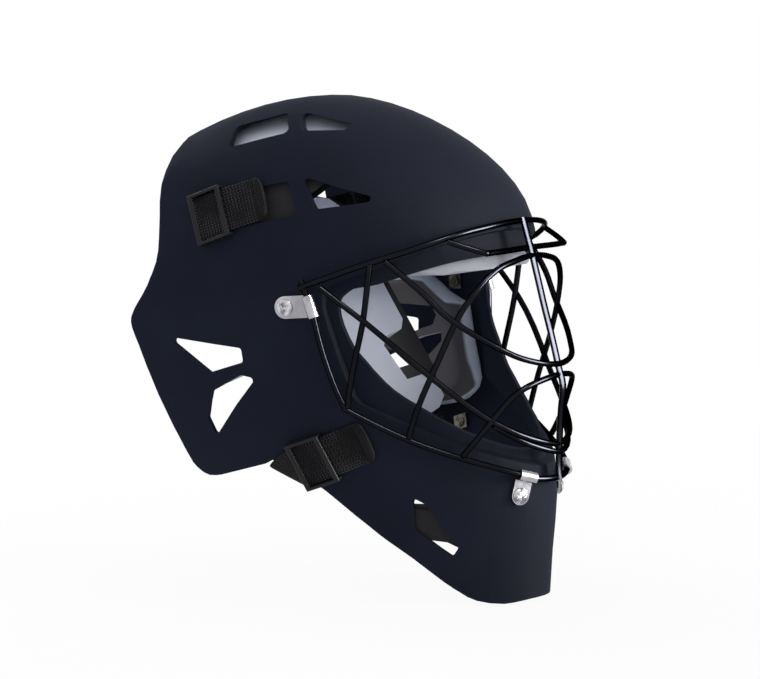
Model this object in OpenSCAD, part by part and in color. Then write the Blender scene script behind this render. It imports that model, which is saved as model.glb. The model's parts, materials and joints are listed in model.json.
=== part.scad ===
// Floorball goalie mask: hard shell, welded wire cage, foam pads and a strap-hung back plate.
// The mask faces -Y, +Z is up and the wearer's left is +X. The origin is the middle of the head.

/* [Shell] */
// Half width of the shell beside the ears
ear_half = 113; // [106:1:120]
// Half width of the shell at the brow
brow_half = 104; // [99:1:109]
// Half width of the shell at the mouth
mouth_half = 105; // [101:1:109]
// Half width of the shell at the jaw
jaw_half = 84; // [81:1:88]
// Half width of the shell at the chin
chin_half = 75; // [72:1:78]
// Height of the crown over the middle of the head
crown_h = 163; // [157:1:170]
// Height at which the crown starts to close
brow_h = 84; // [82:1:86]
// How far the chin stands in front of the middle of the head
chin_front = 129; // [125:1:133]
// How far the brow stands in front of the middle of the head
brow_front = 100; // [97:1:103]
// Thickness of the moulded wall
wall = 3.2; // [2.6:0.1:3.6]
// Depth of the step that carries the cage round the face opening
recess = 5; // [4:0.5:6]
// Corner radius of the vents
vent_r = 2.2; // [1.6:0.2:2.6]

/* [Cage] */
// Diameter of the cage wires
wire_d = 4; // [3.4:0.2:4.4]
// Width of the centre bar
bar_w = 6.5; // [5:0.5:7.5]
// Distance of the frame wire's middle from the shell
frame_gap = 7; // [6:0.5:8]
// Width of the clips at the temples
temple_clip_w = 14.5; // [13:0.5:16]
// Width of the clips at the chin
chin_clip_w = 12; // [11:0.5:13]
// Thickness of the clip plate
clip_t = 1.5; // [1.2:0.1:1.8]
// Diameter of the clip screws' heads
screw_head_d = 10.5; // [9.5:0.5:11]
// Diameter of the clip screws' shanks
screw_d = 5; // [4:0.5:5.5]

/* [Padding] */
// Thickness of the cheek pads
cheek_pad_t = 15; // [12:0.5:17]
// Thickness of the side pads
side_pad_t = 12; // [9:0.5:14]
// Thickness of the crown pad
crown_pad_t = 12; // [9:0.5:15]
// Thickness of the forehead pad
forehead_pad_t = 10; // [8:0.5:12]
// Thickness of the chin pad
chin_pad_t = 8; // [6:0.5:10]
// Gap that keeps a pad clear of the shell
pad_gap = 0.9; // [0.8:0.1:1.2]

/* [Back plate] */
// Width across the back plate's edges
plate_w = 140; // [132:1:144]
// Length of the back plate
plate_l = 174; // [166:1:178]
// Thickness of the back plate
plate_t = 3; // [2:0.5:4]
// Radius that the back plate is curved to
plate_r = 95; // [90:1:105]
// Thickness of the foam on the back plate
liner_t = 12; // [9:0.5:14]
// Lean of the unworn back plate
plate_lean = 33.5; // [31:0.5:35]
// Diameter of the rivets' heads
rivet_d = 10; // [8:0.5:12]

/* [Straps] */
// Width of the elastic webbing
strap_w = 28; // [25:1:29]
// Thickness of the elastic webbing
strap_t = 1.8; // [1.4:0.1:2]
// Length of the slide buckles
buckle_l = 26; // [24:1:28]
// Thickness of the slide buckles' rims
buckle_t = 1.8; // [1.4:0.1:2]
// Clearance round the webbing in a buckle
strap_gap = 0.3; // [0.2:0.1:0.5]

/* [Hidden] */
$fn = 48;

shell_colour = [0.11, 0.12, 0.16];
wire_colour = [0.05, 0.05, 0.06];
steel_colour = [0.75, 0.75, 0.77];
foam_colour = [0.56, 0.58, 0.64];
lining_colour = [0.27, 0.27, 0.29];
webbing_colour = [0.06, 0.06, 0.07];

// The shell's level sections: height, half width, reach to the front, reach to the rear,
// how far the middle lies behind the origin, and squareness of the front.
stations = [
  [-172, chin_half - 5, chin_front - 2 + 25, 130, 25, 1.9],
  [-130, chin_half, chin_front + 27, 135, 27, 1.9],
  [-90, jaw_half, chin_front + 2 + 32, 140, 32, 1.9],
  [-30, mouth_half, 168, 145, 48, 1.9],
  [30, ear_half, 175, 150, 58, 2.1],
  [brow_h, brow_half, brow_front + 42, 158, 42, 2.3],
  [crown_h, brow_half - 4, 124, 127, 38, 1.6]];
rear_square = 3;
crown_side = 2.45;
crown_front = 1.8;
crown_rear = 1.6;
floor_h = stations[0][0];

function unit(v) = v / norm(v);
function power(v, p) = sign(v) * pow(abs(v), p);
function span(h, i = 0) = i >= len(stations) - 2 || h < stations[i + 1][0] ? i : span(h, i + 1);
function slope(k, c) =
  let (a = max(k - 1, 0), b = min(k + 1, len(stations) - 1))
  (stations[b][c] - stations[a][c]) / (stations[b][0] - stations[a][0]);
function station(h, c) =
  let (i = span(h), p = stations[i], q = stations[i + 1], d = q[0] - p[0],
       u = min(max((h - p[0]) / d, 0), 1))
  (2 * u ^ 3 - 3 * u ^ 2 + 1) * p[c] + (u ^ 3 - 2 * u ^ 2 + u) * d * slope(i, c)
  + (3 * u ^ 2 - 2 * u ^ 3) * q[c] + (u ^ 3 - u ^ 2) * d * slope(i + 1, c);
function closing(s, m) = pow(max(1 - pow(s, m), 0), 1 / m);

// A point of the shell's outside: t turns from the front (0) to the wearer's left (90),
// h is the height, and off moves the point out of the surface.
function skin(t, h, off = 0) =
  let (s = min(max((h - brow_h) / (crown_h - brow_h), 0), 1),
       z = h <= brow_h ? h : brow_h + (crown_h + off - brow_h) * s,
       front = cos(t) >= 0, n = front ? station(h, 5) : rear_square,
       x = (station(h, 1) + off) * closing(s, crown_side) * power(sin(t), 2 / n),
       reach = front ? -(station(h, 2) + off) * closing(s, crown_front)
                     : (station(h, 3) + off) * closing(s, crown_rear))
  [x, station(h, 4) + reach * pow(abs(cos(t)), 2 / n), z];
function skin_normal(t, h, off = 0) =
  unit(cross(skin(t + 1, h, off) - skin(t - 1, h, off), skin(t, h + 1, off) - skin(t, h - 1, off)));

// A smooth curve through control points, with n steps between neighbours.
function bend(a, b, c, d, u) =
  0.5 * (2 * b + (c - a) * u + (2 * a - 5 * b + 4 * c - d) * u ^ 2 + (3 * b - a - 3 * c + d) * u ^ 3);
function curve(p, n) =
  concat([for (i = [0:len(p) - 2], k = [0:n - 1])
    bend(p[max(i - 1, 0)], p[i], p[i + 1], p[min(i + 2, len(p) - 1)], k / n)], [p[len(p) - 1]]);
function mirrored(half) =
  concat(half, [for (i = [len(half) - 2:-1:0]) [-half[i][0], half[i][1], half[i][2]]]);
function on_surface(path) = [for (p = path) skin(p[0], p[1], p[2])];

// Closed side of a stack of equal rings, with flat ends.
module stack(rings) {
  n = len(rings[0]);
  m = len(rings);
  polyhedron(
    points = [for (r = rings, p = r) p],
    faces = concat(
      [[for (k = [0:n - 1]) k]],
      [for (i = [0:m - 2], k = [0:n - 1], e = [0:1])
        let (a = i * n + k, b = i * n + (k + 1) % n)
        e == 0 ? [a, a + n, b] : [b, a + n, b + n]],
      [[for (k = [n - 1:-1:0]) (m - 1) * n + k]]));
}

// Shell

skin_step = 7.5;
rear_cols = 4;
low_rows = 13;
crown_rows = 12;
turn_list = concat(
  [for (t = [-90:skin_step:90]) t],
  [for (k = [1:rear_cols]) acos(-pow(k / rear_cols, rear_square / 2))],
  [for (k = [rear_cols - 1:-1:1]) -acos(-pow(k / rear_cols, rear_square / 2))]);
height_list = concat(
  [for (k = [0:low_rows - 1]) floor_h + (brow_h - floor_h) * k / low_rows],
  [for (k = [0:crown_rows - 1]) brow_h + (crown_h - brow_h) * sin(90 * k / crown_rows)]);

module skin_solid(off) {
  n = len(turn_list);
  m = len(height_list);
  polyhedron(
    points = concat(
      [for (h = height_list, t = turn_list) skin(t, h, off)],
      [skin(0, crown_h, off), [0, station(floor_h, 4), floor_h]]),
    faces = concat(
      [for (i = [0:m - 2], k = [0:n - 1], e = [0:1])
        let (a = i * n + k, b = i * n + (k + 1) % n)
        e == 0 ? [a, a + n, b] : [b, a + n, b + n]],
      [for (k = [0:n - 1]) [(m - 1) * n + k, m * n, (m - 1) * n + (k + 1) % n]],
      [for (k = [0:n - 1]) [k, (k + 1) % n, m * n + 1]]));
}

// Side view lines, as [y, z] points.
rear_edge = curve([[106, 134], [109, 124], [109, 110], [108.5, 94], [106, 70], [106, 55],
  [111.5, 40], [119.5, 28], [126, 18], [126, 11], [121.5, 0], [109.5, -35], [97, -72], [90.5, -83],
  [81, -87.5], [70, -86]], 2);
chin_edge = curve([[-64, -133.5], [-82, -148.5], [-90, -154.5], [-99, -160], [-113, -162.5],
  [-124, -160.5], [-150, -156]], 2);
shell_side = concat([[106, 180]], rear_edge, [[34, -75.5], [26, -71.5], [-8, -89], [-43, -118]],
  chin_edge, [[-150, 180]]);
opening_line = curve([[-36, 43], [-30, 38], [-28.5, 32], [-30.5, 20], [-36, 6], [-43, -4],
  [-49, -12.5], [-57, -22], [-72, -34], [-90, -47], [-109, -58.5], [-119, -63], [-127, -64]], 2);
opening_side = concat(opening_line, [[-170, -64], [-170, 65]],
  curve([[-105, 64], [-97, 62.5], [-86, 59.5], [-71, 54], [-50, 46], [-40, 44], [-36, 43]], 2));
recess_side = [[-24, 46], [-21, 43], [-21, 31], [-36, -26], [-40, -31], [-73, -48], [-98, -59.5],
  [-119, -69], [-128, -74], [-170, -76], [-170, 82], [-105, 81], [-90, 74], [-60.6, 61.6], [-50, 57]];

module side_prism(points) {
  reach = 2 * ear_half;
  rotate([90, 0, 90])
    translate([0, 0, -reach])
      linear_extrude(2 * reach)
        polygon(points);
}

// A vent with round corners through one side; the points are its corners in the side view.
module vent(points, from) {
  reach = 2 * ear_half - from;
  middle = [for (a = [0:1]) let (s = [for (p = points) p[a]]) (s * [for (v = s) 1]) / len(s)];
  for (side = [-1, 1])
    hull()
      for (p = points) {
        c = p + vent_r * unit(middle - p) * 1.4;
        translate([side * (from + reach / 2), c[0], c[1]])
          rotate([0, 90, 0])
            cylinder(r = vent_r, h = reach, center = true, $fn = 16);
      }
}

// Each vent is the distance from the middle plane that it starts at, and its corners.
vents = [
  [30, [[61, 131.5], [64, 142], [31, 152], [22, 142]]],
  [30, [[23, 151.5], [15.5, 142.5], [-11, 144]]],
  [40, [[50, 101], [7, 110], [-2, 91], [45, 80]]],
  [40, [[-2, 112], [-12, 93.5], [-46, 100]]],
  [60, [[90, 5], [35, 1.5], [34.5, -5], [63.5, -15]]],
  [60, [[64, -27.5], [36, -15], [29, -16.5], [67, -57], [70.5, -48]]],
  [30, [[-66, -92.5], [-71, -95], [-85.5, -118.5], [-90, -127], [-87.5, -130.5], [-64, -112]]]];

// A fixing point on the shell at t, h, with local x towards t2, h2 and local z outwards.
function fix_frame(fix) =
  let (w = skin_normal(fix[0], fix[1]), o = skin(fix[0], fix[1]), d = skin(fix[2], fix[3]) - o,
       u = unit(d - w * (d * w)))
  [o, u, cross(w, u), w];
function in_fix(fix, p) =
  let (f = fix_frame(fix), d = p - f[0]) [d * f[1], d * f[2], d * f[3]];
module at_fix(fix) {
  f = fix_frame(fix);
  multmatrix([for (k = [0:2]) [f[1][k], f[2][k], f[3][k], f[0][k]]])
    children();
}
module both() {
  children();
  mirror([1, 0, 0])
    children();
}
module on_left() {
  mirror([1, 0, 0])
    children();
}

// Fixing points on the wearer's right, each with the point that its local x aims at.
temple_fix = [-72.5, 31, -66.5, 32.5];
chin_fix = [-18.5, -91, -15.5, -78.5];
upper_fix = [-92.5, 86.8, -84, 100.4];
lower_fix = [-73.6, -69.4, -58.3, -54.5];
module at_temple() at_fix(temple_fix) children();
module at_chin() at_fix(chin_fix) children();
module at_upper() at_fix(upper_fix) children();
module at_lower() at_fix(lower_fix) children();

hole_gap = 0.3;
anchor_u = 9.5;
anchor_d = 4;
slot_u = [-16.8, -10.8];
hole_reach = wall + recess;

module outer_shell() {
  color(shell_colour)
    difference() {
      intersection() {
        union() {
          difference() {
            skin_solid(0);
            skin_solid(-wall);
            side_prism(recess_side);
          }
          intersection() {
            difference() {
              skin_solid(-recess);
              skin_solid(-recess - wall);
            }
            side_prism(recess_side);
          }
          intersection() {
            difference() {
              skin_solid(0);
              skin_solid(-recess - wall);
            }
            rotate([90, 0, 90])
              translate([0, 0, -2 * ear_half])
                linear_extrude(4 * ear_half)
                  difference() {
                    offset(delta = wall)
                      polygon(recess_side);
                    offset(delta = -0.4)
                      polygon(recess_side);
                  }
          }
        }
        side_prism(shell_side);
      }
      side_prism(opening_side);
      for (v = vents)
        vent(v[1], v[0]);
      both() {
        at_temple()
          cylinder(d = screw_d + 2 * hole_gap, h = 2 * hole_reach, center = true);
        at_chin()
          cylinder(d = screw_d + 2 * hole_gap, h = 2 * hole_reach, center = true);
        at_upper() {
          translate([(slot_u[0] + slot_u[1]) / 2, 0, 0])
            cube([slot_u[1] - slot_u[0], strap_w + 3, 4 * hole_reach], center = true);
          translate([anchor_u, 0, 0])
            cylinder(d = anchor_d + 2 * hole_gap, h = 2 * hole_reach, center = true);
        }
        at_lower()
          translate([anchor_u, 0, 0])
            cylinder(d = anchor_d + 2 * hole_gap, h = 2 * hole_reach, center = true);
      }
    }
}

// Cage

// A round or flat wire along points; out is the half size away from the face.
module wire(path, half, out, sides = 8) {
  last = len(path) - 1;
  stack([for (i = [0:last])
    let (t = unit(path[min(i + 1, last)] - path[max(i - 1, 0)]),
         r = path[i] - [0, 45, path[i][2]],
         a = unit(cross(t, r)), b = cross(t, a))
    [for (k = [0:sides - 1])
      let (g = 360 * (k + 0.5) / sides)
      path[i] + half * cos(g) * a + out * sin(g) * b]]);
}
module cage_wire(half_path, n = 4) {
  color(wire_colour)
    wire(on_surface(curve(half_path, n)), wire_d / 2, wire_d / 2);
}

g0 = frame_gap;
brow_frame = [[-70, 44, g0], [-66, 49, g0], [-54, 61, g0], [-31, 76, g0], [-14, 82, g0], [0, 84, g0]];
jaw_frame = [[-70, 49, g0 - 1], [-67.2, 37, g0], [-65.8, 28, g0], [-63.6, 0, g0 - 1.5], [-61, -29, g0],
  [-59.5, -35, g0], [-48, -53, g0], [-36, -65, g0], [-18.5, -77, g0], [-12.5, -80, g0], [0, -81, g0]];
visor = [[-31, 74, g0 + 1], [-22, 67, 16], [-19, 66.5, 15], [0, 67, 9]];
cheek_cross = [[-65, 45, g0 + 1], [-54, 23, 6.5], [-39, -13, 8], [-31, -31, 10.5], [-25, -42, 12],
  [-15, -53, 13], [0, -59, 12]];
chin_guard = [[-25, -44, 9], [-15, -57, 11], [0, -64, 12]];
eye_lower = [[-50, 62, g0 + 1], [-41, 44, 8], [-33, 24, 8.5], [-20, 4, 13.5], [-11, -4, 17.5],
  [0, -7, 18.5]];
eye_upper = [[-48, -51, g0 + 1], [-40, -14, 8], [-32, 24, 8], [-25, 43, 9], [-17, 55, 10],
  [-8, 60, 10], [0, 62, 10]];
mouth = [[-36, -63, g0 + 1], [-27, -43, 12], [-19, -25, 16], [-11, -17, 18], [0, -14, 18.5]];
temple_strut = [[-54, 60, g0], [-54.6, 23, 4.3], [-60, -32, g0]];
bar = [[0, 86, 10], [0, 67, 10], [0, 44, 8.2], [0, 25, 9.2], [0, -7, 16.9], [0, -21, 20.5],
  [0, -35, 18], [0, -59, 12], [0, -72, 9], [0, -82, 8]];

module brow_frame_wire() cage_wire(mirrored(brow_frame));
module jaw_frame_wire() cage_wire(mirrored(jaw_frame));
module visor_wire() cage_wire(mirrored(visor));
module cheek_cross_wire() cage_wire(mirrored(cheek_cross));
module chin_guard_wire() cage_wire(mirrored(chin_guard));
module eye_lower_wire() cage_wire(mirrored(eye_lower));
module eye_upper_wire() cage_wire(mirrored(eye_upper));
module mouth_wire() cage_wire(mirrored(mouth));
module temple_strut_right() cage_wire(temple_strut, 5);
module temple_strut_left() on_left() temple_strut_right();
module centre_bar()
  color(wire_colour)
    wire(on_surface(curve(bar, 3)), bar_w / 2, wire_d / 2);

// Clips, screws and nuts

// A plate under the screw, bent into a hook round the frame wire between two of its points.
module clip(width, fix, low, high) {
  hook_r = wire_d / 2 + 0.15;
  plate_z = 0.3;
  a = in_fix(fix, skin(low[0], low[1], low[2]));
  b = in_fix(fix, skin(high[0], high[1], high[2]));
  away = (a[0] + b[0]) / 2;
  lift = (a[2] + b[2]) / 2;
  turn = atan2(a[0] - b[0], b[1] - a[1]);
  color(steel_colour)
    difference() {
      union() {
        translate([0, 0, plate_z])
          cylinder(d = width, h = clip_t);
        difference() {
          translate([0, -width / 2, plate_z])
            cube([away, width, clip_t]);
          translate([away, 0, 0])
            rotate([0, 0, turn])
              translate([-hook_r, -2 * width, plate_z - 1])
                cube([2 * width, 4 * width, clip_t + 2]);
        }
        translate([away, 0, 0])
          rotate([0, 0, turn]) {
            translate([-hook_r - clip_t, -width / 2, plate_z])
              cube([clip_t, width, lift - plate_z]);
            translate([0, 0, lift])
              rotate([90, 0, 0])
                difference() {
                  cylinder(r = hook_r + clip_t, h = width, center = true);
                  translate([-2 * hook_r, -4 * hook_r, -width])
                    cube([2 * hook_r, 4 * hook_r, 2 * width]);
                }
          }
      }
      cylinder(d = screw_d + hole_gap, h = 8 * clip_t, center = true);
      translate([away, 0, lift])
        rotate([90, 0, turn])
          cylinder(r = hook_r, h = 2 * width, center = true);
    }
}
module temple_clip_right() at_temple() clip(temple_clip_w, temple_fix, [-65.8, 28, g0], [-67.2, 37, g0]);
module temple_clip_left() on_left() temple_clip_right();
module chin_clip_right() at_chin() clip(chin_clip_w, chin_fix, [-12.5, -80, g0], [-18.5, -77, g0]);
module chin_clip_left() on_left() chin_clip_right();

// How far the nuts stand off the wall, which curves away under them.
nut_gap = 1.4;
shaft_end = wall + nut_gap + 2.7;

module screw() {
  seat = 0.3 + clip_t;
  dome = screw_head_d * 0.8;
  head_h = 2.6;
  color(steel_colour)
    difference() {
      union() {
        translate([0, 0, -shaft_end])
          cylinder(d = screw_d, h = shaft_end + seat + 0.5);
        intersection() {
          translate([0, 0, seat])
            cylinder(d = screw_head_d, h = head_h);
          translate([0, 0, seat + head_h - dome])
            sphere(r = dome);
        }
      }
      for (turn = [20, 110])
        translate([0, 0, seat + head_h])
          rotate([0, 0, turn])
            cube([screw_head_d * 0.55, 1.1, 2.4], center = true);
    }
}
module nut(bore) {
  plate = 10.5;
  color(steel_colour)
    translate([0, 0, -wall - nut_gap - 2.3])
      difference() {
        union() {
          translate([-plate / 2, -plate / 2, 1.2])
            cube([plate, plate, 1.1]);
          cylinder(d = bore + 2.6, h = 2);
        }
        cylinder(d = bore + 0.1, h = 6, center = true);
      }
}
module clip_screws()
  both() {
    at_temple() screw();
    at_chin() screw();
  }
module clip_nuts()
  both() {
    at_temple() nut(screw_d);
    at_chin() nut(screw_d);
  }
module anchor_screw()
  color(steel_colour)
    translate([anchor_u, 0, 0]) {
      translate([0, 0, -shaft_end])
        cylinder(d = anchor_d, h = shaft_end + 0.4);
      translate([0, 0, 0.2])
        cylinder(d = 2 * anchor_d, h = 1.3);
    }
module strap_anchor_screws()
  both() {
    at_upper() anchor_screw();
    at_lower() anchor_screw();
  }
module strap_anchor_nuts()
  both() {
    at_upper() translate([anchor_u, 0, 0]) nut(anchor_d);
    at_lower() translate([anchor_u, 0, 0]) nut(anchor_d);
  }

// Padding

// A foam pad under the shell: outline in [t, h], drawn in towards the face and crowned.
module pad(outline, off, thick, draw_in, crown) {
  n = len(outline);
  c = [for (a = [0:1]) let (s = [for (p = outline) p[a]]) (s * [for (v = s) 1]) / n];
  levels = [[0.02, off], [0.3, off], [0.6, off], [0.85, off], [1, off - 0.3], [1, off - thick * 0.45],
    [1 - draw_in * 0.45, off - thick * 0.85], [1 - draw_in, off - thick],
    [(1 - draw_in) * 0.66, off - thick - crown * 0.6], [(1 - draw_in) * 0.33, off - thick - crown],
    [0.02, off - thick - crown]];
  stack([for (l = levels) [for (i = [n - 1:-1:0])
    let (q = c + (outline[i] - c) * l[0])
    skin(q[0], q[1], l[1])]]);
}

under = -wall - pad_gap;
cheek_outline = curve([[67, 16], [74, 24], [79, 33], [86, 34], [93, 31], [95, 20], [95, 0], [94, -20],
  [93, -40], [88, -52], [78, -55], [69, -51], [64, -44], [61, -33], [64, -10], [67, 16]], 2);
cheek_ring = [for (i = [0:len(cheek_outline) - 2]) cheek_outline[i]];
cheek_slots = [
  [[120, 14], [15, 13], [11, 8], [13, 2], [33, -5], [66, -17], [120, -22]],
  [[5, -4.5], [4, -9], [17, -22], [64, -63], [90, -60], [80, -32.5], [28, -10.5]]];
module cheek_pad_left()
  color(foam_colour)
    difference() {
      pad([for (i = [len(cheek_ring) - 1:-1:0]) cheek_ring[i]], under, cheek_pad_t, 0.16, 0.8);
      for (c = cheek_slots, i = [1:len(c) - 2])
        hull()
          for (p = [c[0], c[i], c[i + 1]])
            translate([40, p[0], p[1]])
              rotate([0, 90, 0])
                cylinder(r = 1, h = ear_half, $fn = 12);
    }
module cheek_pad_right() on_left() cheek_pad_left();

side_ring = [[72, 66], [74, 61], [80, 59], [86, 59], [90, 61], [91, 67], [91.2, 85], [91, 103],
  [89.5, 113], [86, 118], [80, 120.5], [70, 120.5], [63, 120], [61, 118], [61.5, 115.5], [66, 115],
  [72.5, 114.5], [74.5, 104], [73, 95], [71, 80]];
module side_pad_left()
  color(lining_colour)
    difference() {
      pad(side_ring, under, side_pad_t, 0.14, 1);
      mirror([1, 0, 0])
        at_upper()
          translate([anchor_u, 0, 0])
            cylinder(d = 18, h = 20, center = true);
    }
module side_pad_right() on_left() side_pad_left();

forehead_half = [[-58, 60], [-56, 55.5], [-45, 51.5], [-30, 51.5], [-15, 53.5]];
forehead_top = [[58, 70], [50, 84], [30, 96], [0, 100], [-30, 96], [-50, 84], [-58, 70]];
forehead_ring = concat(forehead_half, [[0, 54]], [for (i = [4:-1:0]) [-forehead_half[i][0],
  forehead_half[i][1]]], forehead_top);
module forehead_pad()
  color(foam_colour)
    pad(forehead_ring, under - recess, forehead_pad_t, 0.12, 1);

chin_low = [[-60, -97], [-60, -111], [-52, -120], [-43, -122], [-37, -128], [-31, -139], [-22, -146],
  [-8, -149]];
chin_high = [[8, -108], [22, -107], [34, -102], [48, -97]];
chin_ring = concat(chin_low, [for (i = [7:-1:0]) [-chin_low[i][0], chin_low[i][1]]],
  [for (i = [3:-1:0]) chin_high[i]], [for (p = chin_high) [-p[0], p[1]]]);
module chin_pad()
  color(lining_colour)
    pad(chin_ring, under, chin_pad_t, 0.1, 1);

crown_pad_h = 127;
crown_pad_rear = 92;
// How far the crown pad lies below the shell beside its vents
crown_drop = 4.5;
module crown_pad() {
  turns = [for (t = [180:-12:-168]) t];
  rise = crown_h - crown_pad_h;
  deep = under - crown_drop;
  levels = [[0.995, under - 0.8], [0.9, under - 0.8], [0.7, deep], [0.45, deep], [0.2, deep], [0, deep - 0.3],
    [0.01, deep - crown_pad_t * 0.5], [0.1, deep - crown_pad_t], [0.3, deep - crown_pad_t - 1],
    [0.6, deep - crown_pad_t - 1], [0.9, deep - crown_pad_t - 1], [0.995, deep - crown_pad_t - 1]];
  color(foam_colour)
    intersection() {
      stack([for (l = levels) [for (t = turns)
        skin(t, crown_pad_h + rise * l[0], l[1])]]);
      translate([-ear_half, crown_pad_rear - 300, 0])
        cube([2 * ear_half, 300, 2 * crown_h]);
    }
}

// Back plate, in an upright frame that hangs from the upper straps' line

hang = [0, 82, 90];
plate_top = -8;
edge_depth = sqrt(plate_r ^ 2 - (plate_w / 2) ^ 2);
module in_plate()
  translate(hang)
    rotate([-plate_lean, 0, 0])
      translate([0, -edge_depth, 0])
        children();

// Side outline of half a panel, [x, distance down from the hanging line]
module plate_prism(half) {
  full = concat(half, [for (i = [len(half) - 1:-1:0]) [-half[i][0], half[i][1]]]);
  rotate([90, 0, 0])
    translate([0, 0, -2 * plate_r])
      linear_extrude(2 * plate_r)
        polygon([for (p = full) [p[0], -p[1]]]);
}
module curved_panel(outer, thick)
  translate([0, 0, -2 * plate_l])
    difference() {
      cylinder(r = outer, h = 3 * plate_l, $fn = 96);
      translate([0, 0, -1])
        cylinder(r = outer - thick, h = 3 * plate_l + 2, $fn = 96);
    }

plate_end = plate_top + plate_l;
pw = plate_w / 2;
plate_half = [[0, plate_top], [pw - 22, plate_top], [pw - 12, plate_top + 3],
  [pw - 4, plate_top + 11], [pw, plate_top + 20], [pw, plate_end - 22], [pw - 4, plate_end - 10],
  [pw - 14, plate_end - 2], [pw - 24, plate_end], [0, plate_end]];
plate_vent = [[42, 113], [58, 119], [62, 133], [46, 131]];
centre_vent = [[-13, 60], [13, 60], [6, 96], [-6, 96]];
module window(points)
  rotate([90, 0, 0])
    translate([0, 0, -2 * plate_r])
      linear_extrude(2 * plate_r)
        polygon([for (p = points) [p[0], -p[1]]]);

rivet_x = 54;
rivet_high = 12;
rivet_low = plate_end - 14;
rivet_shank = 3.6;
// Places children on the back plate's rear face, with local z pointing to the rear.
module on_plate(x, q)
  in_plate()
    rotate([0, 0, -asin(x / plate_r)])
      translate([0, plate_r, -q])
        rotate([-90, 0, 0])
          children();

module back_plate()
  color(shell_colour)
    difference() {
      in_plate()
        difference() {
          intersection() {
            curved_panel(plate_r, plate_t);
            plate_prism(plate_half);
          }
          window(plate_vent);
          window([for (p = plate_vent) [-p[0], p[1]]]);
          window(centre_vent);
        }
      for (x = [-rivet_x, rivet_x], q = [rivet_high, rivet_low])
        on_plate(x, q)
          cylinder(d = rivet_shank + 0.1, h = 20, center = true);
    }

liner_edge = 57;
liner_half = [[0, plate_top + 5], [liner_edge - 14, plate_top + 5], [liner_edge - 4, plate_top + 12],
  [liner_edge, plate_top + 22], [liner_edge, 104], [54, 110], [44, 110], [40, 116], [43, 144],
  [52, 145], [liner_edge, 156], [liner_edge, plate_end - 1], [52, plate_end + 5],
  [40, plate_end + 6], [0, plate_end + 6]];
liner_seat = 0.05;
module back_liner()
  color(foam_colour)
    difference() {
      in_plate()
        difference() {
          intersection() {
            curved_panel(plate_r - plate_t - liner_seat, liner_t);
            plate_prism(liner_half);
          }
          window([[-16, 50], [16, 50], [9, 100], [-9, 100]]);
        }
      for (x = [-rivet_x, rivet_x], q = [rivet_high, rivet_low])
        on_plate(x, q)
          translate([0, 0, -plate_t - 3])
            cylinder(d = rivet_d, h = 4);
    }

module plate_rivets()
  color(steel_colour)
    for (x = [-rivet_x, rivet_x], q = [rivet_high, rivet_low])
      on_plate(x, q) {
        translate([0, 0, -plate_t - 1.4])
          cylinder(d = rivet_shank, h = plate_t + strap_t + 2);
        translate([0, 0, -plate_t - 1.6])
          cylinder(d = rivet_d - 1.5, h = 1.4);
        translate([0, 0, strap_t + 0.2])
          cylinder(d = rivet_d, h = 1.2);
      }

// Straps

// A flat band through frames of [middle, width direction, thickness direction].
module band(frames, width = strap_w, thick = strap_t)
  color(webbing_colour)
    stack([for (f = frames)
      [for (c = [[-1, -1], [1, -1], [1, 1], [-1, 1]])
        f[0] + c[0] * width / 2 * f[1] + c[1] * thick / 2 * f[2]]]);

// A point at height off over the shell, and frames of webbing that runs through such points.
function over(p) = skin(p[0], p[1]) + p[2] * skin_normal(p[0], p[1]);
function lying(path) =
  [for (i = [0:len(path) - 1])
    let (p = path[i], run = unit(over(path[min(i + 1, len(path) - 1)]) - over(path[max(i - 1, 0)])),
         side = unit(cross(skin_normal(p[0], p[1]), run)))
    [over(p), side, cross(run, side)]];

// The turn at which the shell reaches y at height h on the wearer's right.
function turn_at(y, h) =
  let (s = min(max((h - brow_h) / (crown_h - brow_h), 0), 1), c = station(h, 4), d = abs(y - c),
       front = d / station(h, 2) / closing(s, crown_front),
       rear = d / station(h, 3) / closing(s, crown_rear))
  y < c ? -acos(pow(front, station(h, 5) / 2)) : acos(pow(rear, rear_square / 2)) - 180;
// Point at distance u along a strap that runs straight in the side view.
function along(fix, u, off) =
  let (o = skin(fix[0], fix[1]), e = skin(fix[2], fix[3]), p = o + (e - o) * u / norm(e - o))
  [turn_at(p[1], p[2]), p[2], off];

lie = strap_t / 2 + 0.5;
bridge = buckle_t + 2 * strap_gap + strap_t / 2;
tail = 42;
hem = 8;
buckle_rail = 2.2;
buckle_in = strap_w + 2 * strap_gap + 0.8;
buckle_w = buckle_in + 2 * buckle_rail;
// How far the shell stands up under a buckle's footprint, above the plane it is fixed on.
function bulge(fix) =
  let (f = fix_frame(fix))
  max([for (u = [-0.5:0.25:0.5], v = [-0.5:0.25:0.5])
    let (p = f[0] + f[1] * u * buckle_l + f[2] * v * buckle_w)
    (skin(turn_at(p[1], p[2]), p[2]) - p) * f[3]]);
buckle_gap = 0.25;
lift_up = bulge(upper_fix) + buckle_gap;
lift_low = bulge(lower_fix) + buckle_gap;
upper_path = [along(upper_fix, -19, -9), along(upper_fix, -16, -6.3), along(upper_fix, -14.2, -2),
  along(upper_fix, -12.6, bridge - 0.7), along(upper_fix, -9, bridge + lift_up),
  along(upper_fix, 0, bridge + lift_up), along(upper_fix, 9, bridge + lift_up),
  along(upper_fix, 15, bridge + lift_up), along(upper_fix, 22, bridge - 0.8),
  along(upper_fix, 28, lie), along(upper_fix, 35, lie), along(upper_fix, tail, lie)];
lower_path = [along(lower_fix, -14, bridge - 0.5), along(lower_fix, -8, bridge + lift_low),
  along(lower_fix, 0, bridge + lift_low), along(lower_fix, 9, bridge + lift_low),
  along(lower_fix, 15, bridge + lift_low),
  along(lower_fix, 22, bridge - 1.2), along(lower_fix, 28, lie), along(lower_fix, 35, lie),
  along(lower_fix, tail, lie)];
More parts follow.
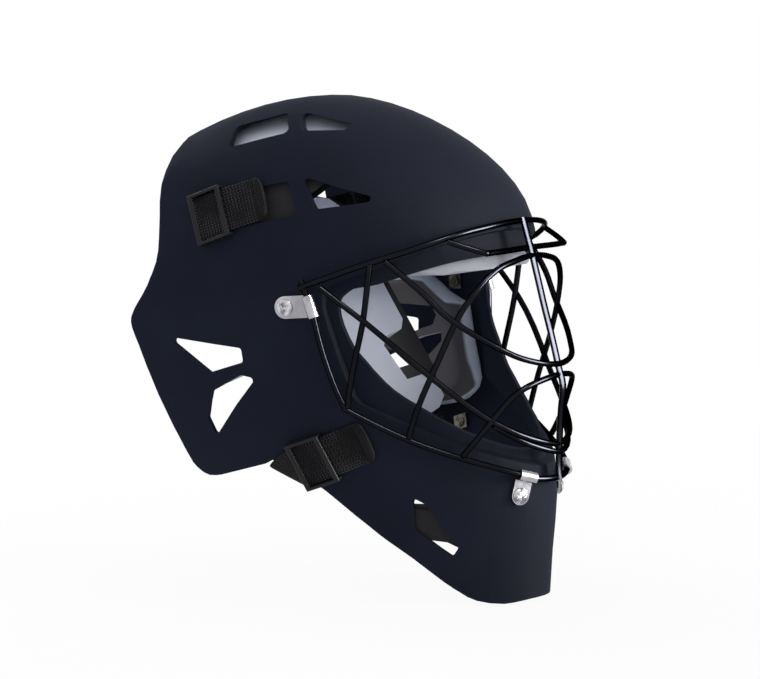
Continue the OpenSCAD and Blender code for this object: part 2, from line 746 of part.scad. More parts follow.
// Where the lower strap turns round the shell's edge, at its rear and front side.
turn_rear = [-87.5, -78.4];
turn_front = [-79.3, -89.3];
function turned(off, lift, thick) =
  let (r = skin(turn_rear[0], turn_rear[1], off), f = skin(turn_front[0], turn_front[1], off),
       side = unit(r - f))
  [(r + f) / 2 + [0, 0, lift], side, unit(thick - side * (thick * side))];
out_turn = skin_normal(turn_front[0], turn_front[1]);
lower_frames = concat(
  [turned(-wall - lie - 2.4, 9, -out_turn), turned(-wall - lie - 2.1, 4, -out_turn),
   turned(-wall / 2 - 2, 1.1, [0.7, 0, -0.7]), turned(-wall / 2 + 1.2, 1.2, [-0.7, 0, -0.7]),
   turned(lie, 3.5, out_turn)], lying(lower_path));
upper_frames = lying(upper_path);

module strap(frames, fix) {
  band(frames);
  band([for (f = lying([along(fix, tail - hem, lie), along(fix, tail, lie)]))
    [f[0] + f[2] * strap_t * 0.9, f[1], f[2]]]);
}
module upper_strap_right() strap(upper_frames, upper_fix);
module upper_strap_left() on_left() upper_strap_right();
module lower_strap_right() strap(lower_frames, lower_fix);
module lower_strap_left() on_left() lower_strap_right();

// Where the webbing meets the back plate, as a frame on the plate's rear face.
function plate_point(x, q, lift) =
  let (a = asin(x / plate_r), d = (plate_r + lift) * cos(a) - edge_depth, c = cos(plate_lean),
       s = sin(plate_lean))
  [(plate_r + lift) * sin(a), hang[1] - q * s + d * c, hang[2] - q * c - d * s];
function plate_out(x) =
  let (a = asin(x / plate_r)) [sin(a), cos(a) * cos(plate_lean), -cos(a) * sin(plate_lean)];
function plate_down() = [0, -sin(plate_lean), -cos(plate_lean)];

// Webbing from under a rivet on the back plate to where the outer strap starts. Frames laid on
// the plate come first, and the rest bends over to the start of the strap.
run_steps = 8;
function run_on(laid, start) =
  let (last = laid[len(laid) - 1], a = last[0], b = start[0] - 0.3 * cross(start[1], start[2]),
       reach = norm(b - a), ta = cross(last[1], last[2]) * reach * 0.9,
       tb = cross(start[1], start[2]) * reach * 0.9)
  concat(laid, [for (k = [1:run_steps])
    let (u = k / run_steps,
         p = (2 * u ^ 3 - 3 * u ^ 2 + 1) * a + (u ^ 3 - 2 * u ^ 2 + u) * ta
             + (3 * u ^ 2 - 2 * u ^ 3) * b + (u ^ 3 - u ^ 2) * tb,
         t = unit((6 * u ^ 2 - 6 * u) * (a - b) + (3 * u ^ 2 - 4 * u + 1) * ta
             + (3 * u ^ 2 - 2 * u) * tb),
         s = last[1] * (1 - u) + start[1] * u, side = unit(s - t * (s * t)))
    [p, side, cross(t, side)]]);
run_lift = strap_t / 2 + 0.15;
upper_laid = [for (dx = [9, 5, 0, -5, -8])
  [plate_point(-rivet_x + dx, rivet_high, run_lift), -plate_down(), plate_out(-rivet_x + dx)]];
lower_laid = [for (dq = [-9, 8, 17])
  [plate_point(-rivet_x, rivet_low + dq, run_lift), -cross(plate_out(-rivet_x), plate_down()),
   -plate_out(-rivet_x)]];
module strap_run(laid, start, q)
  difference() {
    band(run_on(laid, start));
    on_plate(-rivet_x, q)
      cylinder(d = rivet_shank + 0.2, h = 20, center = true);
  }
module upper_run_right() strap_run(upper_laid, upper_frames[0], rivet_high);
module upper_run_left() on_left() upper_run_right();
module lower_run_right() strap_run(lower_laid, lower_frames[0], rivet_low);
module lower_run_left() on_left() lower_run_right();

// Slide buckle: end bars over the webbing, a centre bar under it, side rails beside it.
module buckle() {
  end_bar = 3.6;
  low = strap_gap;
  high = bridge + strap_t / 2 + strap_gap;
  color(webbing_colour) {
    for (v = [-1, 1])
      translate([-buckle_l / 2, v > 0 ? buckle_in / 2 : -buckle_w / 2, low])
        cube([buckle_l, buckle_rail, high + buckle_t - low]);
    for (u = [-buckle_l / 2, buckle_l / 2 - end_bar])
      translate([u, -buckle_in / 2, high])
        cube([end_bar, buckle_in, buckle_t]);
    translate([-2, -buckle_in / 2, low])
      cube([4, buckle_in, buckle_t]);
  }
}
module upper_buckle_right() at_upper() translate([0, 0, lift_up]) buckle();
module upper_buckle_left() on_left() upper_buckle_right();
module lower_buckle_right() at_lower() translate([0, 0, lift_low]) buckle();
module lower_buckle_left() on_left() lower_buckle_right();

outer_shell();
brow_frame_wire();
jaw_frame_wire();
visor_wire();
cheek_cross_wire();
chin_guard_wire();
eye_lower_wire();
eye_upper_wire();
mouth_wire();
temple_strut_right();
temple_strut_left();
centre_bar();
temple_clip_right();
temple_clip_left();
chin_clip_right();
chin_clip_left();
clip_screws();
clip_nuts();
strap_anchor_screws();
strap_anchor_nuts();
forehead_pad();
crown_pad();
cheek_pad_right();
cheek_pad_left();
side_pad_right();
side_pad_left();
chin_pad();
back_plate();
back_liner();
plate_rivets();
upper_strap_right();
upper_strap_left();
lower_strap_right();
lower_strap_left();
upper_run_right();
upper_run_left();
lower_run_right();
lower_run_left();
upper_buckle_right();
upper_buckle_left();
lower_buckle_right();
lower_buckle_left();
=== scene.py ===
import json
import math

import bmesh
import bpy
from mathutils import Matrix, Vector


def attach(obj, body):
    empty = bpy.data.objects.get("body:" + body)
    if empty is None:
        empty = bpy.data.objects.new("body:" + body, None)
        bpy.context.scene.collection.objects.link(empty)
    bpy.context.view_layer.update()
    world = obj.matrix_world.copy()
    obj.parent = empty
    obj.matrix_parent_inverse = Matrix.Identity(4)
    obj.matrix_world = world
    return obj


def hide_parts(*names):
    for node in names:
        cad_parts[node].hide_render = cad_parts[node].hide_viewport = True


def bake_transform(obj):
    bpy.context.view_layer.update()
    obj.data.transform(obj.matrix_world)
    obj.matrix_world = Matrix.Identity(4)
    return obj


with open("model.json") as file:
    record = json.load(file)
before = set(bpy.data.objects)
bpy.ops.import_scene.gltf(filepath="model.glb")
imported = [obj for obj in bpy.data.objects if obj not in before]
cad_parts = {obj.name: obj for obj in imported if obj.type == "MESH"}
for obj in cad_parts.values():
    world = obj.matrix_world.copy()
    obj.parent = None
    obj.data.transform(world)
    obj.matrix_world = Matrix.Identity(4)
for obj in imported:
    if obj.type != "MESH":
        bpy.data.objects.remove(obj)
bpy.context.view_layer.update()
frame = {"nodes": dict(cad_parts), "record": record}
scene = bpy.context.scene
scene.view_settings.view_transform = "Standard"
bodyOf = {node: body for body, nodes in frame["record"]["behaviour"]["bodies"].items()
          for node in nodes}
print("frame loaded")


def addObject(name, data):
    thing = bpy.data.objects.new(name, data)
    scene.collection.objects.link(thing)
    return thing


# camera, from the photograph's side
cameraSettings = {"back": (-0.8378, -0.5338, 0.1146), "distance": 1.871, "lens": 132.25,
                  "sensor": 36, "reach": 100}


def makeCamera(settings):
    data = bpy.data.cameras.new("camera")
    data.lens = settings["lens"]
    data.sensor_width = settings["sensor"]
    data.sensor_fit = "HORIZONTAL"
    data.clip_end = settings["reach"]
    camera = addObject("camera", data)
    back = Vector(settings["back"]).normalized()
    camera.location = back * settings["distance"]
    camera.rotation_euler = back.to_track_quat("Z", "Y").to_euler()
    scene.camera = camera


makeCamera(cameraSettings)


# shader helpers
class Tree:
    # the nodes of a material, a group or the world, with short calls for adding and joining them
    def __init__(self, data):
        self.data = data
        data.nodes.clear()

    def add(self, kind, inputs=None, **values):
        node = self.data.nodes.new("ShaderNode" + kind)
        for key, value in values.items():
            setattr(node, key, value)
        for key, value in (inputs or {}).items():
            self.put(node.inputs[key], value)
        return node

    def put(self, socket, value):
        if isinstance(value, bpy.types.NodeSocket):
            self.data.links.new(value, socket)
        elif isinstance(value, (tuple, list)) and len(value) == 3 and socket.type == "RGBA":
            socket.default_value = (*value, 1)
        else:
            socket.default_value = value

    def math(self, operation, a, b=0.0, c=0.0):
        return self.add("Math", {0: a, 1: b, 2: c}, operation=operation).outputs[0]

    def ramp(self, factor, low, high):
        return self.add("MapRange", {"Value": factor, "From Min": low, "From Max": high},
                        interpolation_type="SMOOTHSTEP").outputs[0]

    def mix(self, factor, a, b):
        return self.add("Mix", {0: factor, 6: a, 7: b}, data_type="RGBA").outputs[2]

    def noise(self, place, size, detail, rough):
        scale = self.math("DIVIDE", 1.0, size)
        return self.add("TexNoise", {"Vector": place, "Scale": scale, "Detail": detail,
                                     "Roughness": rough}).outputs[0]

    def bump(self, height, strength, distance, inputs=None):
        return self.add("Bump", {"Height": height, "Strength": strength, "Distance": distance,
                                 **(inputs or {})}).outputs[0]


def makeGroup(name, inputs, outputs):
    # inputs and outputs give each socket's kind under its name
    group = bpy.data.node_groups.new(name, "ShaderNodeTree")
    tree = Tree(group)
    for way, sockets in (("INPUT", inputs), ("OUTPUT", outputs)):
        for label, kind in sockets.items():
            group.interface.new_socket(label, in_out=way, socket_type="NodeSocket" + kind)
    given = group.nodes.new("NodeGroupInput").outputs
    return tree, given, group.nodes.new("NodeGroupOutput").inputs


grainLook = {"detail": 2.0, "rough": 0.6, "patchDetail": 3.0, "patchRough": 0.55,
             "patchLow": 0.35, "patchHigh": 0.68}


def makeGrainGroup(look):
    # fine moulded or sprayed surface: a height, and a mask for slow changes over the piece
    tree, given, put = makeGroup("fineGrain",
                                 {"Vector": "Vector", "Size": "Float", "Patch": "Float"},
                                 {"Height": "Float", "Patches": "Float"})
    fine = tree.noise(given["Vector"], given["Size"], look["detail"], look["rough"])
    slow = tree.noise(given["Vector"], given["Patch"], look["patchDetail"], look["patchRough"])
    tree.put(put["Height"], fine)
    tree.put(put["Patches"], tree.ramp(slow, look["patchLow"], look["patchHigh"]))
    return tree.data


# how full the loops are, and how high they stand in the valleys and on the ridges
knitLook = {"fullness": 0.7, "valley": 0.4, "ridge": 0.6, "ridgeStart": 1.0, "ridgeEnd": 0.35}


def makeKnitGroup(look):
    # columns of slanting knitted loops, from metres along and across the webbing
    tree, given, put = makeGroup("knitColumns",
                                 {"Along": "Float", "Across": "Float", "Column": "Float",
                                  "Pitch": "Float", "Slant": "Float"},
                                 {"Height": "Float", "Loops": "Float"})
    across = tree.math("DIVIDE", given["Across"], given["Column"])
    zigzag = tree.math("PINGPONG", across, 0.5)
    phase = tree.math("ADD", tree.math("DIVIDE", given["Along"], given["Pitch"]),
                      tree.math("MULTIPLY", zigzag, given["Slant"]))
    wave = tree.math("SINE", tree.math("MULTIPLY", phase, 2 * math.pi))
    loops = tree.math("MULTIPLY_ADD", wave, 0.5, 0.5)
    offMiddle = tree.math("ABSOLUTE", tree.math(
        "SUBTRACT", tree.math("PINGPONG", tree.math("MULTIPLY", across, 2.0), 1.0), 0.5))
    ridge = tree.ramp(tree.math("MULTIPLY", offMiddle, 2.0), look["ridgeStart"], look["ridgeEnd"])
    tree.put(put["Height"], tree.math(
        "MULTIPLY", tree.math("POWER", loops, look["fullness"]),
        tree.math("MULTIPLY_ADD", ridge, look["ridge"], look["valley"])))
    tree.put(put["Loops"], loops)
    return tree.data


grainGroup = makeGrainGroup(grainLook)
knitGroup = makeKnitGroup(knitLook)


def emptyMaterial(name):
    material = bpy.data.materials.new(name)
    material.use_nodes = True
    tree = Tree(material.node_tree)
    return material, tree, tree.add("OutputMaterial").inputs["Surface"]


def newMaterial(name):
    material, tree, surface = emptyMaterial(name)
    shader = tree.add("BsdfPrincipled")
    tree.put(surface, shader.outputs[0])
    return material, tree, shader.inputs


def grained(tree, size, patch):
    place = tree.add("TexCoord").outputs["Object"]
    node = tree.add("Group", node_tree=grainGroup)
    for key, value in (("Vector", place), ("Size", size), ("Patch", patch)):
        tree.put(node.inputs[key], value)
    return node.outputs["Height"], node.outputs["Patches"]


# what a finish has where its own dictionary doesn't say otherwise, with sizes in metres
usualFinish = {"patch": 0.06, "roughSpread": 0.06, "bump": 0.2, "metal": 0.0, "specular": 0.5,
               "edge": (1, 1, 1), "sheen": 0.0, "sheenRough": 0.5}


def finish(tree, sockets, look, colour, height, patches):
    rough = tree.math("MULTIPLY_ADD", patches, look["roughSpread"], look["rough"])
    for socket, value in (("Base Color", colour), ("Roughness", rough),
                          ("Normal", tree.bump(height, look["bump"], look["depth"])),
                          ("Metallic", look["metal"]), ("Specular IOR Level", look["specular"]),
                          ("Specular Tint", look["edge"]), ("Sheen Weight", look["sheen"]),
                          ("Sheen Roughness", look["sheenRough"])):
        tree.put(sockets[socket], value)


def plainSurface(name, values):
    # paint, plastic or metal: two near colours in slow patches, and a fine grain
    look = {**usualFinish, **values}
    material, tree, sockets = newMaterial(name)
    height, patches = grained(tree, look["grain"], look["patch"])
    colour = tree.mix(patches, look["colour"], look["second"])
    finish(tree, sockets, look, colour, height, patches)
    return material


surfaces = {
    "shellPlastic": {"colour": (0.0116, 0.0143, 0.0252), "second": (0.0138, 0.017, 0.03),
                     "rough": 0.68, "grain": 0.0007, "depth": 0.00008, "specular": 0.03},
    "cagePaint": {"colour": (0.0078, 0.0081, 0.0102), "second": (0.0115, 0.0119, 0.0145),
                  "rough": 0.17, "grain": 0.0012, "depth": 0.00003, "metal": 1.0,
                  "edge": (0.02, 0.02, 0.024), "roughSpread": 0.03},
    # the two colours in small patches are painted reflection over the steel's own tone
    "brightSteel": {"colour": (0.3, 0.295, 0.32), "second": (0.5, 0.49, 0.53), "rough": 0.2,
                    "grain": 0.0004, "depth": 0.00002, "metal": 1.0, "patch": 0.016},
    "darkSteel": {"colour": (0.07, 0.065, 0.055), "second": (0.2, 0.19, 0.17), "rough": 0.36,
                  "grain": 0.0006, "depth": 0.00004, "metal": 1.0, "patch": 0.004},
    "nutSteel": {"colour": (0.035, 0.032, 0.028), "second": (0.13, 0.12, 0.1), "rough": 0.4,
                 "grain": 0.0006, "depth": 0.00006, "metal": 1.0, "patch": 0.0025},
    "bucklePlastic": {"colour": (0.0055, 0.0058, 0.008), "second": (0.008, 0.0083, 0.011),
                      "rough": 0.45, "grain": 0.0006, "depth": 0.00005, "specular": 0.2},
    "platePlastic": {"colour": (0.009, 0.0095, 0.0125), "second": (0.013, 0.0137, 0.0175),
                     "rough": 0.45, "grain": 0.0008, "depth": 0.0001, "specular": 0.2},
    "darkFoam": {"colour": (0.013, 0.0128, 0.0155), "second": (0.02, 0.0195, 0.0235),
                 "rough": 0.75, "grain": 0.0009, "depth": 0.00016, "specular": 0.2,
                 "sheen": 0.1, "bump": 0.5},
    "paleFoam": {"colour": (0.66, 0.7, 0.83), "second": (0.72, 0.76, 0.89),
                 "rough": 0.6, "grain": 0.0009, "depth": 0.0001, "specular": 0.3,
                 "sheen": 0.05, "bump": 0.35},
    # the crown pad's pale foam, painted darker as shade under the brow
    "browFoam": {"colour": (0.33, 0.345, 0.41), "second": (0.4, 0.415, 0.49),
                 "rough": 0.6, "grain": 0.0009, "depth": 0.0001, "specular": 0.3,
                 "sheen": 0.05, "bump": 0.35},
}
materials = {name: plainSurface(name, values) for name, values in surfaces.items()}


def paintedShadeSurface(name, values):
    # a surface with painted shade: a darker colour on the side that faces the head, where shade
    # falls inside the mask
    look = {**usualFinish, **values}
    material, tree, sockets = newMaterial(name)
    height, patches = grained(tree, look["grain"], look["patch"])
    side = tree.add("SeparateXYZ", {"Vector": tree.add("NewGeometry").outputs["Normal"]})
    place = tree.add("SeparateXYZ", {"Vector": tree.add("TexCoord").outputs["Object"]})
    outer = tree.math("SIGN", place.outputs[0])
    # how far each face turns towards the head, which sets how much painted shade it takes
    inward = tree.math("MULTIPLY", tree.math("MULTIPLY", side.outputs[0], outer), -1.0)
    facing = tree.ramp(inward, look["from"], look["to"])
    pale = tree.mix(patches, look["pale"], look["paleSecond"])
    finish(tree, sockets, look, tree.mix(facing, pale, look["dark"]), height, patches)
    return material


paintedShadeSurfaces = {
    # one pale foam; the darker colour on the faces towards the head is painted shade
    "foamInnerPaintedShade": {"pale": (0.64, 0.715, 0.87), "paleSecond": (0.7, 0.775, 0.92),
                  "dark": (0.082, 0.077, 0.088), "from": 0.6, "to": 0.72, "grain": 0.0009,
                  "patch": 0.05, "rough": 0.6, "roughSpread": 0.08, "bump": 0.4,
                  "depth": 0.00014, "specular": 0.3, "sheen": 0.1},
    # the darker colour on the screw ends inside the mask is painted shade, and the two pale
    # colours in small patches are painted reflection over the steel's own tone
    "screwSteel": {"pale": (0.2, 0.195, 0.21), "paleSecond": (0.66, 0.65, 0.68),
                   "dark": (0.03, 0.027, 0.025), "from": 0.1, "to": 0.3, "grain": 0.0004,
                   "patch": 0.004, "rough": 0.22, "roughSpread": 0.08, "depth": 0.00002,
                   "metal": 1.0},
}
for name, values in paintedShadeSurfaces.items():
    materials[name] = paintedShadeSurface(name, values)


# the knit's sizes, the colours between the loops (painted shade in the knit's valleys), on and
# over the loops, and the sewn end, in metres
webbingLook = {"column": 0.0036, "pitch": 0.0023, "slant": 1.3, "deep": (0.002, 0.002, 0.0025),
               "yarn": (0.0085, 0.0085, 0.0105), "light": (0.06, 0.06, 0.07),
               "fleckLow": 0.62, "fleckHigh": 0.9, "loopDepth": 0.0009, "hem": 0.0075,
               "hemBlur": 0.0004, "hemRelief": 0.15, "grain": 0.0005, "patch": 0.02,
               "bump": 0.3, "depth": 0.0002, "rough": 0.7, "specular": 0.12}


def webbing(name, look):
    # knitted elastic: black loops with a lighter yarn showing between them
    material, tree, sockets = newMaterial(name)
    place = tree.add("SeparateXYZ", {"Vector": tree.add("UVMap", uv_map="webbing").outputs[0]})
    knit = tree.add("Group", node_tree=knitGroup)
    for key, value in (("Along", place.outputs[0]), ("Across", place.outputs[1]),
                       ("Column", look["column"]), ("Pitch", look["pitch"]),
                       ("Slant", look["slant"])):
        tree.put(knit.inputs[key], value)
    height, patches = grained(tree, look["grain"], look["patch"])
    # the knit lies flatter on the doubled end, which is sewn down
    tail = tree.add("Attribute", attribute_name="tail").outputs["Fac"]
    knitted = tree.ramp(tail, look["hem"] - look["hemBlur"], look["hem"] + look["hemBlur"])
    # the low parts between the loops take painted shade
    yarn = tree.mix(knit.outputs["Loops"], look["deep"], look["yarn"])
    high = tree.ramp(knit.outputs["Height"], look["fleckLow"], look["fleckHigh"])
    flecks = tree.math("MULTIPLY", high, tree.math("MULTIPLY", patches, knitted))
    relief = tree.math("MULTIPLY_ADD", knitted, 1 - look["hemRelief"], look["hemRelief"])
    woven = tree.bump(tree.math("MULTIPLY", knit.outputs["Height"], relief), 1.0,
                      look["loopDepth"])
    for socket, value in (("Base Color", tree.mix(flecks, yarn, look["light"])),
                          ("Roughness", look["rough"]), ("Specular IOR Level", look["specular"]),
                          ("Normal", tree.bump(height, look["bump"], look["depth"],
                                               {"Normal": woven}))):
        tree.put(sockets[socket], value)
    return material


materials["webbing"] = webbing("webbing", webbingLook)
print("materials made")


# pieces
mergeDistance = 1e-6


def mergedMesh(node, flatAngle=None):
    # a copy of a node's mesh whose loose triangles are joined up
    bm = bmesh.new()
    bm.from_mesh(frame["nodes"][node].data)
    bmesh.ops.remove_doubles(bm, verts=bm.verts, dist=mergeDistance)
    if flatAngle is not None:
        bmesh.ops.dissolve_limit(bm, angle_limit=math.radians(flatAngle), verts=bm.verts,
                                 edges=bm.edges, delimit=set())
    return bm


def shade(bm, sharpAngle):
    limit = math.radians(sharpAngle)
    for face in bm.faces:
        face.smooth = True
    for edge in bm.edges:
        edge.smooth = len(edge.link_faces) == 2 and edge.calc_face_angle(0) < limit


def newPiece(node, bm, material):
    # an object in the node's place, named after it
    mesh = bpy.data.meshes.new(node)
    bm.to_mesh(mesh)
    bm.free()
    mesh.materials.append(materials[material])
    first, *others = node.split("_")
    thing = addObject(first + "".join(word.capitalize() for word in others), mesh)
    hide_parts(node)
    return thing


def dress(node, material, sharp=30, flat=None, edge=None, edgeAngle=35, edgeSteps=3):
    # a node's own shape: flat faces joined up, edges rounded and shaded smooth, where asked for
    bm = mergedMesh(node, flat)
    shade(bm, sharp)
    thing = newPiece(node, bm, material)
    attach(thing, bodyOf[node])
    if edge:
        rounding = thing.modifiers.new("edges", "BEVEL")
        rounding.width = edge
        rounding.segments = edgeSteps
        rounding.limit_method = "ANGLE"
        rounding.angle_limit = math.radians(edgeAngle)
    weighted = thing.modifiers.new("shading", "WEIGHTED_NORMAL")
    weighted.keep_sharp = True
    return thing


# angles in degrees, edges in metres
shell = {"material": "shellPlastic", "sharp": 28}
wire = {"material": "cagePaint", "sharp": 50}
clip = {"material": "brightSteel", "flat": 1, "edge": 0.0003}
screw = {"material": "screwSteel", "flat": 1, "edge": 0.0002}
nut = {"material": "nutSteel"}
strapSteel = {"material": "darkSteel"}
plate = {"material": "platePlastic"}
buckle = {"material": "bucklePlastic", "flat": 1, "edge": 0.0007}
hardPieces = {
    "outer_shell": shell,
    "brow_frame_wire": wire, "jaw_frame_wire": wire, "visor_wire": wire,
    "cheek_cross_wire": wire, "chin_guard_wire": wire, "eye_lower_wire": wire,
    "eye_upper_wire": wire, "mouth_wire": wire, "temple_strut_right": wire,
    "temple_strut_left": wire, "centre_bar": wire,
    "temple_clip_right": clip, "temple_clip_left": clip, "chin_clip_right": clip,
    "chin_clip_left": clip,
    "clip_screws": screw, "clip_nuts": nut,
    "strap_anchor_screws": strapSteel, "strap_anchor_nuts": strapSteel,
    "plate_rivets": strapSteel,
    "back_plate": plate,
    "upper_buckle_right": buckle, "lower_buckle_right": buckle,
    "upper_buckle_left": buckle, "lower_buckle_left": buckle,
}
for node, values in hardPieces.items():
    dress(node, **values)
print("hard pieces made")


# pads: the solid with wide rounded edges, smooth all over
padShape = {"sharp": 180, "flat": 2, "edge": 0.0022, "edgeAngle": 42}
pads = {
    "forehead_pad": "browFoam", "crown_pad": "paleFoam",
    "cheek_pad_right": "foamInnerPaintedShade", "cheek_pad_left": "foamInnerPaintedShade",
    "side_pad_right": "darkFoam", "side_pad_left": "darkFoam",
    "chin_pad": "darkFoam", "back_liner": "paleFoam",
}
for node, foam in pads.items():
    dress(node, foam, **padShape)
print("pads made")


# webbing straps, laid along the CAD's plain ones, in metres; near and square are how exactly
# lengths and right angles there have to be met
strapSize = {"width": 0.028, "thick": 0.0018, "round": 0.0005, "foldLift": 0.9, "near": 0.00001,
             "square": 0.01}


def edgesOfLength(bm, length):
    # the middle and the direction of each
    found = []
    for edge in bm.edges:
        start, end = (vert.co for vert in edge.verts)
        if abs((end - start).length - length) < strapSize["near"]:
            found.append(((start + end) / 2, (end - start).normalized()))
    return found


def rectangles(edges, gap):
    # each two edges that face each other over the gap, as centre and the directions along and
    # between them
    sections = []
    for index, (middle, along) in enumerate(edges):
        for other, direction in edges[index + 1:]:
            between = (other - middle).normalized()
            skew = max(abs(between.dot(along)), abs(between.dot(direction)))
            off = abs((other - middle).length - gap)
            if off < strapSize["near"] and skew < strapSize["square"]:
                sections.append(((middle + other) / 2, along, between))
    return sections


def inOrder(sections):
    # from the end that is farthest from the strap's middle, each time to the nearest one left
    middle = sum((section[0] for section in sections), Vector()) / len(sections)
    waiting = sorted(sections, key=lambda section: (section[0] - middle).length)
    route = [waiting.pop()]
    while waiting:
        waiting.sort(key=lambda section: (section[0] - route[-1][0]).length)
        route.append(waiting.pop(0))
    return route


def squareTo(run, side, turn):
    # the width direction, turned to point backwards, and the thickness direction square to it
    side = side if side.y > 0 else -side
    return side, run.cross(side).normalized() * turn


def facing(route, turn):
    # the same sections with their directions turned alike
    turned = []
    for index, (centre, side, out) in enumerate(route):
        run = route[min(index + 1, len(route) - 1)][0] - route[max(index - 1, 0)][0]
        side, lift = squareTo(run, side, turn)
        turned.append((centre, side, out if out.dot(lift) > 0 else -out))
    return turned


def underFold(wide, route, turn):
    # the sections past the route's last one, of which the sewn fold leaves only the inner edge
    centre, out = route[-1][0], route[-1][2]
    onwards = (centre - route[-2][0]).normalized()
    half = strapSize["thick"] / 2
    inner = [(middle, side) for middle, side in wide
             if (middle - centre).dot(onwards) > half * 2 and (middle - centre).dot(out) < half]
    inner.sort(key=lambda edge: (edge[0] - centre).length)
    chain = [centre - out * half] + [middle for middle, side in inner]
    sections = []
    for index, (middle, side) in enumerate(inner):
        run = chain[min(index + 2, len(inner))] - chain[index]
        side, lift = squareTo(run, side, turn)
        sections.append((middle + lift * half, side, lift))
    return sections


def strapRoute(node, hemmed, turn):
    # sections from end to end, as centre, width direction and thickness direction
    bm = mergedMesh(node)
    wide = edgesOfLength(bm, strapSize["width"])
    thin = edgesOfLength(bm, strapSize["thick"])
    bm.free()
    if hemmed:
        route = facing(inOrder(rectangles(wide, strapSize["thick"]))[::-1], turn)
        return route + underFold(wide, route, turn)
    # the rivet's hole cuts the wide edges of one section, and leaves its thin ones
    sections = [(centre, side, out) for centre, out, side in
                rectangles(thin, strapSize["width"])]
    return facing(inOrder(sections), turn)


def addBand(bm, where, tail, route):
    # a ring of ten points at each section of the route, bridged, with the webbing's own map
    wide, high, edge = strapSize["width"] / 2, strapSize["thick"] / 2, strapSize["round"]
    inner = [(-wide, edge - high), (edge - wide, -high), (0, -high), (wide - edge, -high),
             (wide, edge - high)]
    outline = inner + [(-across, -lift) for across, lift in inner]
    steps = [0.0] + [(b[0] - a[0]).length for a, b in zip(route, route[1:])]
    along = 0.0
    rings = []
    for (centre, side, out), step in zip(route, steps):
        along += step
        ring = []
        for across, lift in outline:
            vert = bm.verts.new(centre + side * across + out * lift)
            vert[where] = (along, across, 0)
            vert[tail] = sum(steps) - along
            ring.append(vert)
        rings.append([bm.edges.new(pair) for pair in zip(ring, ring[1:] + ring[:1])])
        if len(rings) in (1, len(route)):
            bm.faces.new(ring)
    for first, second in zip(rings, rings[1:]):
        bmesh.ops.bridge_loops(bm, edges=first + second)


def makeStrap(node, hemmed, turn):
    route = strapRoute(node, hemmed, turn)
    bm = bmesh.new()
    where = bm.verts.layers.float_vector.new("where")
    tail = bm.verts.layers.float.new("tail")
    addBand(bm, where, tail, route)
    if hemmed:
        # the end of the webbing is folded over and sewn down
        lift = strapSize["thick"] * strapSize["foldLift"]
        addBand(bm, where, tail, [(centre + out * lift, side, out)
                                  for centre, side, out in route[-2:]])
    else:
        for vert in bm.verts:
            vert[tail] = 1
    bmesh.ops.recalc_face_normals(bm, faces=bm.faces)
    cover = bm.loops.layers.uv.new("webbing")
    for face in bm.faces:
        face.smooth = True
        for loop in face.loops:
            loop[cover].uv = loop.vert[where].xy
    thing = newPiece(node, bm, "webbing")
    fine = thing.modifiers.new("fine", "SUBSURF")
    fine.levels = fine.render_levels = 2
    fine.uv_smooth = "PRESERVE_BOUNDARIES"
    return thing


# the inner runs lie between the shell and the back plate; the points, a first and a second for
# each, are the right side's, and turn is -1 on the left, where everything is mirrored
runEnds = {"upper": ((-0.092, 0.0806, 0.078), (-0.064, 0.082, 0.0758)),
           "lower": ((-0.0784, 0.0155, -0.0725), (-0.0555, 0.0005, -0.061))}
for side, turn in [("right", 1), ("left", -1)]:
    for level in runEnds:
        outer = f"{level}_strap_{side}"
        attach(makeStrap(outer, True, turn), bodyOf[outer])
    for level, ends in runEnds.items():
        run = makeStrap(f"{level}_run_{side}", False, turn)
        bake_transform(run)
print("straps made")


# floor, backdrop and lights
lights = {
    "above": {"at": (0.3, 0.1, 1.9), "size": 1.5, "power": 7.5, "mattOnly": True},
    "behind": {"at": (0.1, 1.7, 1.1), "size": 1.0, "power": 15},
    "front": {"at": (0.85, -1.9, 0.5), "size": 0.5, "power": 16},
    "shine": {"at": (0.5, -1.85, 0.35), "size": 1.1, "power": 220, "glossOnly": True},
    "highShine": {"at": (-0.6, -1.3, 1.9), "size": 0.6, "power": 34, "glossOnly": True},
}


def makeLight(name, values):
    data = bpy.data.lights.new(name, "AREA")
    data.shape = "DISK"
    data.size = values["size"]
    data.energy = values["power"]
    thing = addObject(name, data)
    thing.location = values["at"]
    thing.rotation_euler = Vector(values["at"]).to_track_quat("Z", "Y").to_euler()
    thing.visible_diffuse = not values.get("glossOnly", False)
    thing.visible_glossy = not values.get("mattOnly", False)


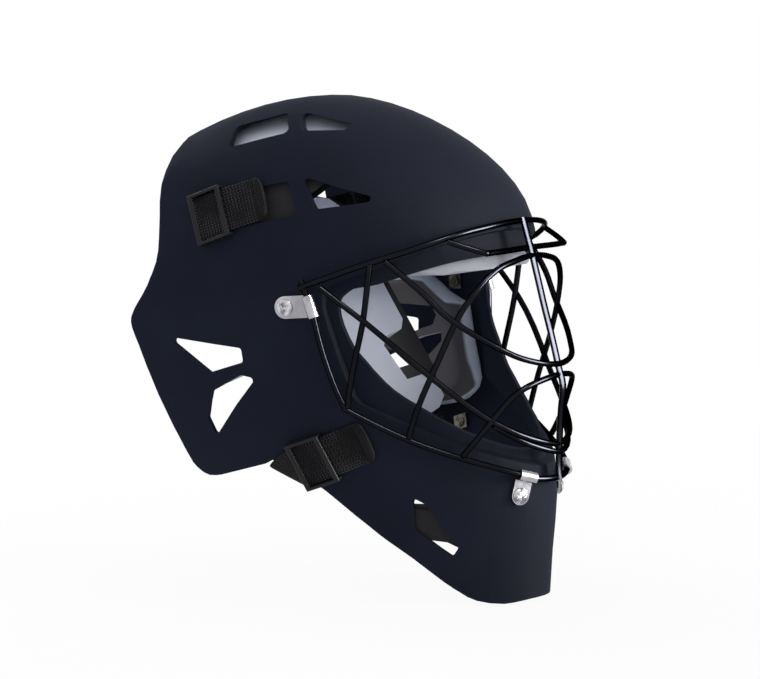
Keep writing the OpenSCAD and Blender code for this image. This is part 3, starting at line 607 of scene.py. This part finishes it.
for name, values in lights.items():
    makeLight(name, values)

# near and far are where the floor starts and ends its change from lift to plain white
room = {"white": (1.0, 1.0, 1.0), "full": 1.0, "fill": 0.6, "floor": (0.86, 0.86, 0.87),
        "lift": 0.92, "near": 0.25, "far": 0.8, "floorHeight": -0.1635, "floorSize": 30}


def seenDirectly(tree):
    # one where the camera, a reflection or a view through glass meets the backdrop
    path = tree.add("LightPath").outputs
    some = tree.math("MAXIMUM", path["Is Camera Ray"], path["Is Glossy Ray"])
    return tree.math("MAXIMUM", some, path["Is Transmission Ray"])


def makeWorld():
    world = bpy.data.worlds.new("room")
    scene.world = world
    world.use_nodes = True
    tree = Tree(world.node_tree)
    fill = tree.add("Background", {"Color": room["white"], "Strength": room["fill"]})
    seen = tree.add("Background", {"Color": room["white"], "Strength": room["full"]})
    both = tree.add("MixShader", {0: seenDirectly(tree), 1: fill.outputs[0],
                                  2: seen.outputs[0]})
    tree.add("OutputWorld", {"Surface": both.outputs[0]})


def makeFloor():
    bm = bmesh.new()
    bmesh.ops.create_grid(bm, x_segments=1, y_segments=1, size=room["floorSize"] / 2)
    bmesh.ops.translate(bm, verts=bm.verts, vec=(0, 0, room["floorHeight"]))
    mesh = bpy.data.meshes.new("floor")
    bm.to_mesh(mesh)
    bm.free()
    floor = addObject("floor", mesh)
    material, tree, surface = emptyMaterial("floor")
    matt = tree.add("BsdfDiffuse", {"Color": room["floor"]})
    glow = tree.add("Emission", {"Color": room["white"], "Strength": room["full"]})
    place = tree.add("TexCoord").outputs["Object"]
    away = tree.add("VectorMath", {0: place}, operation="LENGTH").outputs["Value"]
    far = tree.ramp(away, room["near"], room["far"])
    lift = tree.math("MULTIPLY_ADD", far, room["full"] - room["lift"], room["lift"])
    share = tree.math("MULTIPLY", seenDirectly(tree), lift)
    both = tree.add("MixShader", {0: share, 1: matt.outputs[0], 2: glow.outputs[0]})
    tree.put(surface, both.outputs[0])
    mesh.materials.append(material)


makeWorld()
makeFloor()
print("room made")
